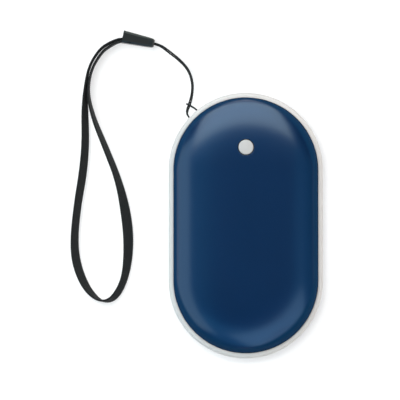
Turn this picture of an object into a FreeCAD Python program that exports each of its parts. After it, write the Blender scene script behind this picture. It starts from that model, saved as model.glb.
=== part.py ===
import FreeCAD, Part
import math
import os

# Rechargeable hand warmer on a wrist strap, in millimetres.
# X is the width, Y the length, and +Z the way that the button faces. The origin is on the flat that the rear
# cover rests on, under the middle of the body. Seen from above, the body is a straight spine along Y with a
# round end about each end of the spine, so most profiles are drawn by their distance from that spine.

V = FreeCAD.Vector
UP = V(0, 0, 1)
ALONG = V(0, 1, 0)
OVERRUN = 1.0  # how far a cutting shape runs past what it cuts

# Body: the pebble without its strap
BODY_LENGTH = 105.0
BODY_WIDTH = 61.0
BODY_HEIGHT = 26.0  # over both covers, without the button

# Middle frame
FRAME_HEIGHT = 9.0
LEDGE_WIDTH = 1.9  # pale rim that shows round a cover
FRAME_EDGE_R = 1.4
LEDGE_EDGE_R = 0.12
GROOVE_DEPTH = 1.6
LIP_HEIGHT = 2.0  # of the inner lip, over the groove's floor
LIP_WALL = 1.2

# Covers
COVER_WALL = 1.0
COVER_GAP = 0.08  # between a cover's skirt and the groove's walls
SEAL_HEIGHT = 0.4
REST_HALF_WIDTH = 10.0  # of the flat on the rear cover
CROWN_SHARES = (0.35, 0.72)  # where the crown's poles lie, of the way from the flat to the edge
SKIRT_SHARES = (0.80, 0.40)  # how high the skirt's poles lie, of the cover's rise

# Heaters, their sensors and pads
GLUE = 0.05
FILM_THICKNESS = 0.2
FILM_INSET = 10.6  # from a cover's edge
SENSOR_SIZE = (3.0, 1.8, 1.2)
SENSOR_SHARE = 0.33  # of the film's half width
SENSOR_BEYOND = 2.5  # past the tray's end
FOAM_SIDE_INSET = 3.0  # from the cell's sides
FOAM_END_INSET = 1.0
FOAM_CORNER_R = 6.0

# Button and its guide
BUTTON_FROM_END = 22.1  # from the body's end to the button's axis
BUTTON_R = 2.95
BUTTON_GAP = 0.3
BUTTON_PROUD = 0.6
BUTTON_EDGE_R = 0.45
BUTTON_CROWN = 0.15
BUTTON_TRAVEL = 0.4
BUTTON_PLAY = 0.15  # over the flange at rest, and under it when pressed
HOLE_EDGE_R = 0.2
FLANGE_R = 4.3
FLANGE_HEIGHT = 0.8
STEM_R = 1.5
STEM_GAP = 0.2
GUIDE_WALL = 1.6
GUIDE_FLOOR = 1.0

# Circuit board
BOARD_LENGTH = 32.0
BOARD_THICKNESS = 1.2
BOARD_GAP = 0.8  # round the board, to the frame's lip and to the tray
BOARD_CORNER_R = 3.0

# Charging port, of the usual small reversible kind
PORT_WIDTH = 8.94
PORT_HEIGHT = 3.26
PORT_WALL = 0.3
PORT_LENGTH = 9.0
PORT_GAP = 0.2
PORT_BLOCK_LENGTH = 3.4  # of the moulding that closes the port's back
TONGUE_WIDTH = 6.69
TONGUE_HEIGHT = 0.7
TONGUE_SETBACK = 0.9
CONTACT_COUNT = 12  # on each side of the tongue
CONTACT_PITCH = 0.5
CONTACT_WIDTH = 0.26
CONTACT_HEIGHT = 0.05
CONTACT_LENGTH = 3.0
RECESS_DEPTH = 1.1  # of the dish round the port's mouth
RECESS_BORDER = 1.1

# Tact switch
SWITCH_SIZE = 6.0
SWITCH_HEIGHT = 3.2
SWITCH_CORNER_R = 0.4
SWITCH_CAVITY_R = 2.2
SWITCH_FLOOR = 1.6
SWITCH_PLATE = 0.3
PLUNGER_R = 1.65
PLUNGER_FOOT_R = 2.0
PLUNGER_FOOT_HEIGHT = 0.5
PLUNGER_PROUD = 1.2
PLUNGER_GAP = 0.08
DOME_R = 1.9
DOME_WALL = 0.1
DOME_PLAY = 0.04  # under the plunger's foot at rest

# Battery, its guard board and its tray
BATTERY_THICKNESS = 12.0
BATTERY_CORNER_R = 4.0
BATTERY_EDGE_R = 2.0
GUARD_SIDE_INSET = 4.0  # from the cell's sides
GUARD_DEPTH = 2.6
GUARD_HEIGHT = 8.0
TRAY_WALL = 1.0
TRAY_WALL_HEIGHT = 5.0
TRAY_GAP = 0.25
TRAY_SIDE_GAP = 6.95  # from the tray's sides to the frame's lip, for the ears
TRAY_CORNER_GAP = 2.87  # from the tray's round corners to the frame's lip
EAR_LENGTH = 7.0
EAR_THICKNESS = 1.2
EAR_Y_SHARES = (0.36, 0.86)  # along the tray

# Screws and the bosses that take them
SCREW_SHANK_R = 0.9
SCREW_LENGTH = 3.8
SCREW_HEAD_R = 1.7
SCREW_HEAD_HEIGHT = 1.1
SCREW_SLOT = 0.4
SCREW_SLOT_DEPTH = 0.5
SCREW_HOLE_GAP = 0.2
PILOT_GAP = 0.05
BOSS_R = 2.1
BOSS_HEIGHT = 3.2
BOARD_BOSS_INSET = 4.4  # from the frame's lip to the boss's axis
BOARD_BOSS_ANGLE = 20.0

# Small components: width, length, height
CONTROLLER_SIZE = (6.0, 5.0, 1.5)
CHARGER_SIZE = (5.0, 4.0, 1.5)
CHIP_CORNER_R = 0.3
CONTROLLER_SHARES = (-0.42, 0.5)  # places on the board, of its half width and of its length
CHARGER_SHARES = (0.40, 0.58)
COIL_SIZE = (7.0, 7.0, 4.0)
COIL_CORNER_R = 1.5
COIL_SHARES = (0.62, 0.30)
CAPACITOR_SIZE = (1.25, 2.0, 1.25)
CAPACITOR_SHARES = ((-0.62, 0.30), (-0.52, 0.30), (0.36, 0.30), (0.30, 0.80), (-0.30, 0.80))
RESISTOR_SIZE = (0.8, 1.6, 0.5)
RESISTOR_SHARES = ((-0.62, 0.55), (-0.22, 0.36), (0.22, 0.36), (-0.40, 0.80), (0.40, 0.80))
LAMP_SIZE = (1.25, 2.0, 0.8)
LAMP_GAP = 0.7  # between the switch and a lamp

# Leads inside the body
LEAD_R = 0.5
LEAD_PITCH = 2.4
LEAD_REACH = 2.4  # straight stretch at each end
LEAD_SHIFT = 1.4
HEATER_LEAD_SHARE = 0.61  # of the film's half width
BATTERY_LEAD_X = 5.0
BATTERY_LEAD_RISE = 1.6  # over the middle of the body

# Strap: eye in the frame, cord, sleeve and ribbon
EYE_ANGLE = 133.0  # about the end of the spine, from +X
EYE_PITCH = 4.2
EYE_WIDTH = 1.7
EYE_HEIGHT = 2.1
EYE_CORNER_R = 0.5
EYE_BAR = 1.6
EYE_DEPTH = 3.1
STRING_R = 0.325
RIBBON_WIDTH = 4.3
RIBBON_THICKNESS = 0.9
BEAD_LENGTH = 12.76
BEAD_TAIL = (-48.86, 75.78)  # middle of the end that takes the ribbon
BEAD_ANGLE = -11.9
BEAD_STATION_SHARES = (0.0, 0.80, 0.95, 1.0)  # along the sleeve
BEAD_WIDTHS = (4.95, 3.75, 3.4, 2.6)
BEAD_HEIGHTS = (5.8, 4.6, 4.1, 3.3)
BEAD_BEVEL_SHARES = (0.18, 0.11)  # of a section's width: how far its bevels reach across it and down it
BEAD_SLOT_SHIFT = 0.85
BEAD_SLOT_DEPTH = 3.6
BEAD_SLOT_GAP = 0.25
BEAD_BORE_R = 0.9
BEAD_BORE_DEPTH = 3.2
STRAP_EYE = (-20.80095, 44.30629, 13.0)  # where the routes below meet the eye
RIBBON_PITCH = 1.0  # between the two ends of the ribbon in the sleeve
ARC_SHARE = 0.45  # of the shorter run, that a bend takes up on each side

# Route of the cord: out of the sleeve, through the eye, over and under itself, and back
STRING_ROUTE = [
    (-39.28, 73.94, 2.05), (-34.38, 73.16, 1.78), (-30.34, 70.22, 1.14), (-26.02, 66.67, 1.73),
    (-22.61, 62.55, 3.45), (-21.02, 57.40, 6.28), (-20.93, 52.72, 10.11), (-21.84, 48.28, 12.40),
    (-23.05, 45.55, 13.25), (-23.16, 43.75, 13.40), (-20.73, 41.16, 13.40), (-17.66, 44.02, 13.40),
    (-19.95, 46.47, 13.45), (-21.75, 47.52, 14.05), (-23.15, 48.24, 13.95), (-23.48, 48.40, 12.80),
    (-23.15, 48.24, 11.65), (-21.75, 47.52, 11.45), (-19.95, 46.47, 12.55), (-17.66, 44.02, 12.60),
    (-20.73, 41.16, 12.60), (-23.16, 43.75, 12.60), (-23.55, 45.65, 12.60), (-22.52, 48.50, 12.40),
    (-21.40, 52.80, 9.40), (-21.07, 57.43, 5.45), (-22.66, 62.59, 2.66), (-26.26, 66.49, 1.08),
    (-30.66, 69.78, 0.71), (-34.62, 72.84, 1.09), (-39.35, 73.60, 1.45),
]

# Route of the ribbon: out of the sleeve, round the loop and back, with its lean from upright, in degrees
RIBBON_ROUTE = [
    (-45.85, 74.79, 2.90, 0), (-49.86, 75.63, 2.88, 0), (-53.83, 73.60, 2.60, 4),
    (-58.09, 71.09, 2.32, 4), (-62.06, 64.11, 2.19, 2), (-63.77, 55.83, 2.27, 10),
    (-63.92, 46.30, 2.11, 33), (-63.62, 33.63, 2.05, 36), (-64.64, 21.43, 1.97, 41),
    (-66.84, 8.68, 2.04, 36), (-68.31, -4.38, 2.02, 38), (-67.50, -13.98, 1.71, 52),
    (-64.11, -23.08, 1.89, 45), (-59.49, -28.48, 2.25, 23), (-55.50, -29.78, 2.26, -10),
    (-51.47, -27.60, 2.07, -36), (-47.92, -20.56, 2.08, -35), (-46.49, -9.91, 1.51, -61),
    (-46.91, 1.95, 1.04, -76), (-50.20, 17.75, 2.21, -30), (-55.70, 31.49, 2.16, -26),
    (-60.57, 43.30, 2.24, -18), (-62.93, 53.38, 2.24, -8), (-61.52, 62.75, 2.19, -3),
    (-57.36, 69.54, 2.32, -4), (-54.27, 71.94, 2.60, -4), (-50.06, 74.65, 2.88, 0),
    (-46.05, 73.81, 2.90, 0),
]

# Places that follow from the sizes above
END_R = BODY_WIDTH / 2
SPINE_HALF = (BODY_LENGTH - BODY_WIDTH) / 2
MID_Z = BODY_HEIGHT / 2
LEDGE_Z = MID_Z + FRAME_HEIGHT / 2
GROOVE_Z = LEDGE_Z - GROOVE_DEPTH
LIP_Z = GROOVE_Z + LIP_HEIGHT
COVER_EDGE_Z = GROOVE_Z + SEAL_HEIGHT
GROOVE_OUT = END_R - LEDGE_WIDTH
COVER_R = GROOVE_OUT - COVER_GAP
COVER_IN = COVER_R - COVER_WALL
LIP_OUT = COVER_IN - COVER_GAP
LIP_IN = LIP_OUT - LIP_WALL
FILM_HALF_WIDTH = COVER_R - FILM_INSET
FILM_OUTSIDE = COVER_WALL + GLUE
FILM_INSIDE = FILM_OUTSIDE + FILM_THICKNESS

BOARD_TOP = MID_Z - PORT_HEIGHT / 2
BOARD_UNDER = BOARD_TOP - BOARD_THICKNESS
BOARD_R = LIP_IN - BOARD_GAP
BOARD_HIGH_Y = SPINE_HALF + BOARD_R
BOARD_LOW_Y = BOARD_HIGH_Y - BOARD_LENGTH

# The tray fills the rest of the frame, and the cell fills the tray
TRAY_SHELL = TRAY_WALL + TRAY_GAP
TRAY_CORNER_R = BATTERY_CORNER_R + TRAY_SHELL
TRAY_HALF_WIDTH = LIP_IN - TRAY_SIDE_GAP
TRAY_CORNER_X = TRAY_HALF_WIDTH - TRAY_CORNER_R
TRAY_CORNER_REACH = LIP_IN - TRAY_CORNER_GAP - TRAY_CORNER_R  # to the middle of its rounding
TRAY_CORNER_Y = -SPINE_HALF - math.sqrt(TRAY_CORNER_REACH**2 - TRAY_CORNER_X**2)
TRAY_LOW_Y = TRAY_CORNER_Y - TRAY_CORNER_R
TRAY_HIGH_Y = BOARD_LOW_Y - BOARD_GAP
TRAY_LENGTH = TRAY_HIGH_Y - TRAY_LOW_Y
TRAY_MID_Y = (TRAY_HIGH_Y + TRAY_LOW_Y) / 2
GUARD_HIGH_Y = TRAY_HIGH_Y - TRAY_SHELL
BATTERY_WIDTH = 2 * (TRAY_HALF_WIDTH - TRAY_SHELL)
BATTERY_LOW_Y = TRAY_LOW_Y + TRAY_SHELL
BATTERY_HIGH_Y = GUARD_HIGH_Y - GUARD_DEPTH - TRAY_GAP
BATTERY_LENGTH = BATTERY_HIGH_Y - BATTERY_LOW_Y
BATTERY_MID_Y = (BATTERY_HIGH_Y + BATTERY_LOW_Y) / 2
BATTERY_UNDER = MID_Z - BATTERY_THICKNESS / 2
BATTERY_TOP = MID_Z + BATTERY_THICKNESS / 2
TRAY_UNDER = BATTERY_UNDER - TRAY_WALL
GUARD_WIDTH = BATTERY_WIDTH - 2 * GUARD_SIDE_INSET
FOAM_WIDTH = BATTERY_WIDTH - 2 * FOAM_SIDE_INSET
FOAM_LENGTH = BATTERY_LENGTH - 2 * FOAM_END_INSET
EAR_X = (TRAY_HALF_WIDTH + LIP_IN) / 2
EAR_TOP = BOARD_UNDER + EAR_THICKNESS
SENSOR_Y = TRAY_HIGH_Y + SENSOR_BEYOND

# Port, button, switch and strap
PORT_MOUTH_Y = SPINE_HALF + END_R - RECESS_DEPTH
PORT_BACK_Y = PORT_MOUTH_Y - PORT_LENGTH
BUTTON_Y = BODY_LENGTH / 2 - BUTTON_FROM_END
BUTTON_REACH = BUTTON_Y - SPINE_HALF  # the button's distance from the spine
SWITCH_TOP = BOARD_TOP + SWITCH_HEIGHT
PLUNGER_TOP = SWITCH_TOP + PLUNGER_PROUD
CAVITY_FLOOR = BOARD_TOP + SWITCH_FLOOR
FOOT_TOP = SWITCH_TOP - SWITCH_PLATE - PLUNGER_GAP
FOOT_UNDER = FOOT_TOP - PLUNGER_FOOT_HEIGHT
EYE_TURN = math.radians(EYE_ANGLE)
STRAP_SHIFT_X = END_R * math.cos(EYE_TURN) - STRAP_EYE[0]
STRAP_SHIFT_Y = SPINE_HALF + END_R * math.sin(EYE_TURN) - STRAP_EYE[1]
STRING_LIFT_SHARE = MID_Z / STRAP_EYE[2]  # of the heights on the cord's route


# Plain shapes

def line(start, end):
    return Part.LineSegment(start, end).toShape()


def curve(poles):
    bezier = Part.BezierCurve()
    bezier.setPoles(poles)
    return bezier.toShape()


def arc_in_profile(centre, radius, start, end):
    """Arc in the XZ plane, by its angles in degrees from +X towards +Z."""
    turns = [math.radians(a) for a in (start, (start + end) / 2, end)]
    return Part.Arc(*[centre + V(radius * math.cos(a), 0, radius * math.sin(a)) for a in turns]).toShape()


def profile(points):
    """Face in the XZ plane, by its corners as distance from the spine and height."""
    corners = [V(x, 0, z) for x, z in points]
    return Part.Face(Part.makePolygon(corners + corners[:1]))


def box(x, y, z):
    """Box by its low and high places along each axis."""
    return Part.makeBox(x[1] - x[0], y[1] - y[0], z[1] - z[0], V(x[0], y[0], z[0]))


def spread(middle, size):
    return middle - size / 2, middle + size / 2


def cylinder(radius, low, high, x=0, y=0):
    return Part.makeCylinder(radius, high - low, V(x, y, low))


def rounded_wire(width, height, corner):
    """Rounded rectangle in the XY plane, about the origin."""
    x, y = width / 2 - corner, height / 2 - corner
    edges = []
    for i, (cx, cy) in enumerate([(x, y), (-x, y), (-x, -y), (x, -y)]):
        turns = [math.radians(i * 90 + a) for a in (0, 45, 90)]
        bend = [V(cx + corner * math.cos(a), cy + corner * math.sin(a), 0) for a in turns]
        if edges and edges[-1].lastVertex().Point.distanceToPoint(bend[0]) > Part.Precision.confusion():
            edges.append(line(edges[-1].lastVertex().Point, bend[0]))
        edges.append(Part.Arc(*bend).toShape())
    first, last = edges[0].firstVertex().Point, edges[-1].lastVertex().Point
    if last.distanceToPoint(first) > Part.Precision.confusion():
        edges.append(line(last, first))
    return Part.Wire(edges)


def rounded_prism(width, length, corner, low, high, x=0, y=0):
    """Upright prism on a rounded rectangle."""
    prism = Part.Face(rounded_wire(width, length, corner)).extrude(V(0, 0, high - low))
    prism.translate(V(x, y, low))
    return prism


def slot_along(width, height, corner, low, high, z):
    """Rounded bar along Y, from low to high, with its middle at height z."""
    bar = Part.Face(rounded_wire(width, height, corner)).extrude(V(0, 0, high - low))
    bar.rotate(V(), V(1, 0, 0), -90)
    bar.translate(V(0, low, z))
    return bar


def joined(shapes):
    return shapes[0].fuse(shapes[1:]).removeSplitter()


def group(shapes):
    """Separate solids that share one node."""
    return Part.makeCompound(shapes)


def flipped(shape):
    """The same shape on the rear side: turned half round the body's length."""
    turned = shape.copy()
    turned.rotate(V(0, 0, MID_Z), ALONG, 180)
    return turned


def mirrored_in_x(shape):
    return shape.mirror(V(), V(1, 0, 0))


# Shapes that follow the spine

def ring(face):
    """Sweeps a profile in the XZ plane round the spine."""
    side = face.copy()
    side.translate(V(0, -SPINE_HALF, 0))
    end = face.copy()
    end.translate(V(0, SPINE_HALF, 0))
    half = side.extrude(V(0, 2 * SPINE_HALF, 0)).fuse(end.revolve(V(0, SPINE_HALF, 0), UP, 180))
    other = half.copy()
    other.rotate(V(), UP, 180)
    return half.fuse(other).removeSplitter()


def obround(half_width, low, high):
    return ring(profile([(0, low), (half_width, low), (half_width, high), (0, high)]))


def dome_poles(inset, flat):
    """Poles of a cover's section, that far inside its outer face. It leaves the flat without curvature."""
    top, edge = BODY_HEIGHT - inset, COVER_R - inset
    across, rise = edge - flat, top - COVER_EDGE_Z
    crown = [(flat + share * across, top) for share in (0, *CROWN_SHARES)]
    skirt = [(edge, COVER_EDGE_Z + share * rise) for share in (*SKIRT_SHARES, 0)]
    return [V(x, 0, z) for x, z in crown + skirt]


def dome(inset, flat, low=COVER_EDGE_Z):
    """Solid under a cover's section, down to a height."""
    poles = dome_poles(inset, flat)
    corners = [V(COVER_R - inset, 0, low), V(0, 0, low), V(0, 0, BODY_HEIGHT - inset)]
    edges = [curve(poles)]
    if low < COVER_EDGE_Z:
        edges.append(line(poles[-1], corners[0]))
    edges += [line(corners[0], corners[1]), line(corners[1], corners[2])]
    if flat > 0:
        edges.append(line(corners[2], poles[0]))
    return ring(Part.Face(Part.Wire(edges)))


def dome_height(distance, inset, flat=0):
    """Height of that section at a distance from the spine."""
    poles = dome_poles(inset, flat)
    degree = len(poles) - 1
    low, high = 0.0, 1.0

    def at(t):
        weights = [math.comb(degree, i) * t**i * (1 - t) ** (degree - i) for i in range(degree + 1)]
        return sum(w * p.x for w, p in zip(weights, poles)), sum(w * p.z for w, p in zip(weights, poles))

    if distance <= flat:
        return BODY_HEIGHT - inset
    while high - low > Part.Precision.confusion():
        middle = (low + high) / 2
        low, high = (middle, high) if at(middle)[0] < distance else (low, middle)
    return at(low)[1]


# Case

def screw_places():
    """Axes of the six screws: two through the board, four through the tray's ears, with each head's seat."""
    reach, turn = LIP_IN - BOARD_BOSS_INSET, math.radians(BOARD_BOSS_ANGLE)
    x, y = reach * math.cos(turn), SPINE_HALF + reach * math.sin(turn)
    places = [(x, y, BOARD_TOP), (-x, y, BOARD_TOP)]
    for share in EAR_Y_SHARES:
        ear_y = TRAY_LOW_Y + share * TRAY_LENGTH
        places += [(EAR_X, ear_y, EAR_TOP), (-EAR_X, ear_y, EAR_TOP)]
    return places


def make_boss(x, y):
    """Screw boss on a web from the frame's lip."""
    foot = V(0, max(-SPINE_HALF, min(SPINE_HALF, y)), 0)
    away = V(x, y, 0) - foot
    rib = box((away.Length, LIP_IN + LIP_WALL / 2), spread(0, BOSS_R), (BODY_HEIGHT - LIP_Z, BOARD_UNDER))
    rib.rotate(V(), UP, math.degrees(math.atan2(away.y, away.x)))
    rib.translate(foot)
    return joined([cylinder(BOSS_R, BOARD_UNDER - BOSS_HEIGHT, BOARD_UNDER, x, y), rib])


def make_eye_tunnel():
    """Two mouths in the band's side, joined behind a bar that the cord goes round."""
    outside, inside = END_R + OVERRUN, END_R - EYE_DEPTH
    mouth = Part.Face(rounded_wire(EYE_HEIGHT, EYE_WIDTH, EYE_CORNER_R)).extrude(V(0, 0, outside - inside))
    mouth.rotate(V(), ALONG, 90)
    mouth.translate(V(inside, 0, 0))
    mouths = []
    for side in (-1, 1):
        copy = mouth.copy()
        copy.translate(V(0, side * EYE_PITCH / 2, 0))
        mouths.append(copy)
    link = slot_along(EYE_DEPTH - EYE_BAR, EYE_HEIGHT, EYE_CORNER_R, -EYE_PITCH / 2, EYE_PITCH / 2, 0)
    link.translate(V((inside + END_R - EYE_BAR) / 2, 0, 0))
    tunnel = joined([*mouths, link])
    tunnel.rotate(V(), UP, EYE_ANGLE)
    tunnel.translate(V(0, SPINE_HALF, MID_Z))
    return tunnel


def frame_face():
    """Section of the band: a rounded outside, a groove for each cover and a lip inside each groove."""
    ledge_in, ledge_out = GROOVE_OUT + LEDGE_EDGE_R, END_R - FRAME_EDGE_R
    low_ledge, low_groove, low_lip = BODY_HEIGHT - LEDGE_Z, BODY_HEIGHT - GROOVE_Z, BODY_HEIGHT - LIP_Z
    inner = [
        V(GROOVE_OUT, 0, low_ledge + LEDGE_EDGE_R), V(GROOVE_OUT, 0, low_groove), V(LIP_OUT, 0, low_groove),
        V(LIP_OUT, 0, low_lip), V(LIP_IN, 0, low_lip), V(LIP_IN, 0, LIP_Z), V(LIP_OUT, 0, LIP_Z),
        V(LIP_OUT, 0, GROOVE_Z), V(GROOVE_OUT, 0, GROOVE_Z), V(GROOVE_OUT, 0, LEDGE_Z - LEDGE_EDGE_R),
    ]
    edges = [line(a, b) for a, b in zip(inner, inner[1:])]
    edges.append(arc_in_profile(V(ledge_in, 0, LEDGE_Z - LEDGE_EDGE_R), LEDGE_EDGE_R, 180, 90))
    edges.append(line(V(ledge_in, 0, LEDGE_Z), V(ledge_out, 0, LEDGE_Z)))
    edges.append(arc_in_profile(V(ledge_out, 0, LEDGE_Z - FRAME_EDGE_R), FRAME_EDGE_R, 90, 0))
    edges.append(line(V(END_R, 0, LEDGE_Z - FRAME_EDGE_R), V(END_R, 0, low_ledge + FRAME_EDGE_R)))
    edges.append(arc_in_profile(V(ledge_out, 0, low_ledge + FRAME_EDGE_R), FRAME_EDGE_R, 0, -90))
    edges.append(line(V(ledge_out, 0, low_ledge), V(ledge_in, 0, low_ledge)))
    edges.append(arc_in_profile(V(ledge_in, 0, low_ledge + LEDGE_EDGE_R), LEDGE_EDGE_R, -90, -180))
    return Part.Face(Part.Wire(edges))


def make_middle_frame():
    frame = joined([ring(frame_face())] + [make_boss(x, y) for x, y, seat in screw_places()])
    pilots = [cylinder(SCREW_SHANK_R + PILOT_GAP, seat - SCREW_LENGTH - PILOT_GAP, seat, x, y)
              for x, y, seat in screw_places()]
    width, height = PORT_WIDTH + 2 * PORT_GAP, PORT_HEIGHT + 2 * PORT_GAP
    opening = slot_along(width, height, height / 2, PORT_BACK_Y, SPINE_HALF + END_R + OVERRUN, MID_Z)
    width, height = PORT_WIDTH + 2 * RECESS_BORDER, PORT_HEIGHT + 2 * RECESS_BORDER
    recess = slot_along(width, height, height / 2, PORT_MOUTH_Y, SPINE_HALF + END_R + OVERRUN, MID_Z)
    return frame.cut([*pilots, opening, recess, make_eye_tunnel()])


def make_cover(flat):
    return dome(0, flat).cut(dome(COVER_WALL, flat, COVER_EDGE_Z - OVERRUN))


def make_front_cover():
    radius = BUTTON_R + BUTTON_GAP
    cover = make_cover(0).cut(cylinder(radius, COVER_EDGE_Z, BODY_HEIGHT + OVERRUN, 0, BUTTON_Y))
    near_top = dome_height(BUTTON_REACH, COVER_WALL / 4)

    def on_hole(edge):
        return all(abs(math.hypot(v.X, v.Y - BUTTON_Y) - radius) < GLUE for v in edge.Vertexes)

    rims = [edge for edge in cover.Edges if on_hole(edge) and edge.CenterOfMass.z > near_top]
    return cover.makeFillet(min(HOLE_EDGE_R, COVER_WALL / 2), rims)


def make_seal():
    low, high = GROOVE_Z, COVER_EDGE_Z
    return ring(profile([(COVER_IN, low), (COVER_R, low), (COVER_R, high), (COVER_IN, high)]))


# Heat

def make_film(flat):
    """Heating film, bonded to the inside of a cover."""
    layer = dome(FILM_OUTSIDE, flat).cut(dome(FILM_INSIDE, flat, COVER_EDGE_Z - OVERRUN))
    return layer.common(obround(FILM_HALF_WIDTH, COVER_EDGE_Z, BODY_HEIGHT))


def make_front_film():
    return make_film(0).cut(cylinder(guide_r() + BOARD_GAP, COVER_EDGE_Z, BODY_HEIGHT, 0, BUTTON_Y))


def make_sensor(flat):
    """Heat sensor, bonded behind a film."""
    width, length, height = SENSOR_SIZE
    x = SENSOR_SHARE * FILM_HALF_WIDTH
    low = dome_height(x + width / 2, FILM_INSIDE, flat) - height
    block = box(spread(x, width), spread(SENSOR_Y, length), (low, BODY_HEIGHT))
    return block.common(dome(FILM_INSIDE + GLUE, flat))


def make_foam(flat, low):
    """Pad from a height up to a film."""
    block = rounded_prism(FOAM_WIDTH, FOAM_LENGTH, FOAM_CORNER_R, low, BODY_HEIGHT, 0, BATTERY_MID_Y)
    return block.common(dome(FILM_INSIDE + GLUE, flat))


def make_heater_leads(flat, landing):
    """Two leads from a film to the board."""
    leads = []
    for i in range(2):
        x = HEATER_LEAD_SHARE * FILM_HALF_WIDTH + i * LEAD_PITCH
        start = dome_height(x + LEAD_R, FILM_INSIDE + GLUE, flat) - GLUE
        y = SENSOR_Y + LEAD_SHIFT
        leads.append(tube([
            V(x, SENSOR_Y, start), V(x, SENSOR_Y, start - LEAD_REACH),
            V(x, y, landing + LEAD_REACH), V(x, y, landing),
        ], LEAD_R))
    return group(leads)


# Button and switch

def guide_r():
    return FLANGE_R + STEM_GAP + GUIDE_WALL


def flange_top():
    """Height of the flange's upper face, clear of the cover's inside at its lowest."""
    return dome_height(BUTTON_REACH + FLANGE_R, COVER_WALL) - BUTTON_PLAY


def chamber_floor():
    return flange_top() - FLANGE_HEIGHT - BUTTON_TRAVEL - BUTTON_PLAY


def make_power_button():
    top = dome_height(BUTTON_REACH, 0) + BUTTON_PROUD
    shoulder = top - BUTTON_CROWN
    side = shoulder - BUTTON_EDGE_R
    rim = BUTTON_R - BUTTON_EDGE_R
    seat, under = flange_top(), flange_top() - FLANGE_HEIGHT
    corners = [V(0, 0, top), V(0, 0, PLUNGER_TOP), V(STEM_R, 0, PLUNGER_TOP), V(STEM_R, 0, under),
               V(FLANGE_R, 0, under), V(FLANGE_R, 0, seat), V(BUTTON_R, 0, seat), V(BUTTON_R, 0, side)]
    edges = [line(a, b) for a, b in zip(corners, corners[1:])]
    edges.append(arc_in_profile(V(rim, 0, side), BUTTON_EDGE_R, 0, 90))
    edges.append(curve([V(rim, 0, shoulder), V(rim / 2, 0, top), V(0, 0, top)]))
    cap = Part.Face(Part.Wire(edges)).revolve(V(), UP, 360)
    cap.translate(V(0, BUTTON_Y, 0))
    return cap


def make_button_guide():
    """Cup behind the front cover that keeps the button's flange and steers its stem."""
    low = chamber_floor() - GUIDE_FLOOR
    cup = cylinder(guide_r(), low, BODY_HEIGHT, 0, BUTTON_Y).common(dome(COVER_WALL + GLUE, 0))
    chamber = cylinder(FLANGE_R + STEM_GAP, chamber_floor(), BODY_HEIGHT, 0, BUTTON_Y)
    return cup.cut([chamber, cylinder(STEM_R + STEM_GAP, low - OVERRUN, BODY_HEIGHT, 0, BUTTON_Y)])


def switch_layer(low, high):
    return rounded_prism(SWITCH_SIZE, SWITCH_SIZE, SWITCH_CORNER_R, low, high, 0, BUTTON_Y)


def make_switch_base():
    base = switch_layer(BOARD_TOP, SWITCH_TOP - SWITCH_PLATE)
    return base.cut(cylinder(SWITCH_CAVITY_R, CAVITY_FLOOR, SWITCH_TOP, 0, BUTTON_Y))


def make_switch_plate():
    plate = switch_layer(SWITCH_TOP - SWITCH_PLATE, SWITCH_TOP)
    return plate.cut(cylinder(PLUNGER_R + PLUNGER_GAP, BOARD_TOP, SWITCH_TOP + OVERRUN, 0, BUTTON_Y))


def make_switch_plunger():
    stem = cylinder(PLUNGER_R, FOOT_UNDER, PLUNGER_TOP, 0, BUTTON_Y)
    foot = cylinder(PLUNGER_FOOT_R, FOOT_UNDER, FOOT_TOP, 0, BUTTON_Y)
    return joined([stem, foot])


def make_switch_dome():
    """Snap dome on the cavity's floor, a shallow piece of a ball."""
    rise = FOOT_UNDER - DOME_PLAY - CAVITY_FLOOR
    ball_r = (DOME_R**2 + rise**2) / (2 * rise)
    centre = V(0, BUTTON_Y, CAVITY_FLOOR + rise - ball_r)
    shell = Part.makeSphere(ball_r, centre).cut(Part.makeSphere(ball_r - DOME_WALL, centre))
    return shell.common(cylinder(DOME_R, CAVITY_FLOOR, SWITCH_TOP, 0, BUTTON_Y))


# Board and port

def make_circuit_board():
    """Board that fills the button's end of the frame, with a straight edge towards the tray."""
    half = obround(BOARD_R, BOARD_UNDER, BOARD_TOP)
    low = BOARD_LOW_Y + BOARD_R
    keep = rounded_prism(2 * BOARD_R, 2 * BOARD_R, BOARD_CORNER_R, BOARD_UNDER, BOARD_TOP, 0, low)
    holes = [cylinder(SCREW_SHANK_R + SCREW_HOLE_GAP, BOARD_UNDER - OVERRUN, BOARD_TOP + OVERRUN, x, y)
             for x, y, seat in screw_places()[:2]]
    return half.common(keep).cut(holes)


def on_board(size, shares, corner=0):
    """Block on the board's upper face, at shares of the board's half width and of its length."""
    width, length, height = size
    x, y = shares[0] * BOARD_R, BOARD_LOW_Y + shares[1] * BOARD_LENGTH
    if corner:
        return rounded_prism(width, length, corner, BOARD_TOP, BOARD_TOP + height, x, y)
    return box(spread(x, width), spread(y, length), (BOARD_TOP, BOARD_TOP + height))


def make_indicator_lamps():
    """Two lamps beside the switch, that light the button from below."""
    width, length, height = LAMP_SIZE
    x = (SWITCH_SIZE + width) / 2 + LAMP_GAP
    lamp = box(spread(x, width), spread(BUTTON_Y, length), (BOARD_TOP, BOARD_TOP + height))
    return group([lamp, mirrored_in_x(lamp)])


def make_usb_shell():
    shell = slot_along(PORT_WIDTH, PORT_HEIGHT, PORT_HEIGHT / 2, PORT_BACK_Y, PORT_MOUTH_Y, MID_Z)
    width, height = PORT_WIDTH - 2 * PORT_WALL, PORT_HEIGHT - 2 * PORT_WALL
    low, high = PORT_BACK_Y - OVERRUN, PORT_MOUTH_Y + OVERRUN
    return shell.cut(slot_along(width, height, height / 2, low, high, MID_Z))


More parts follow.
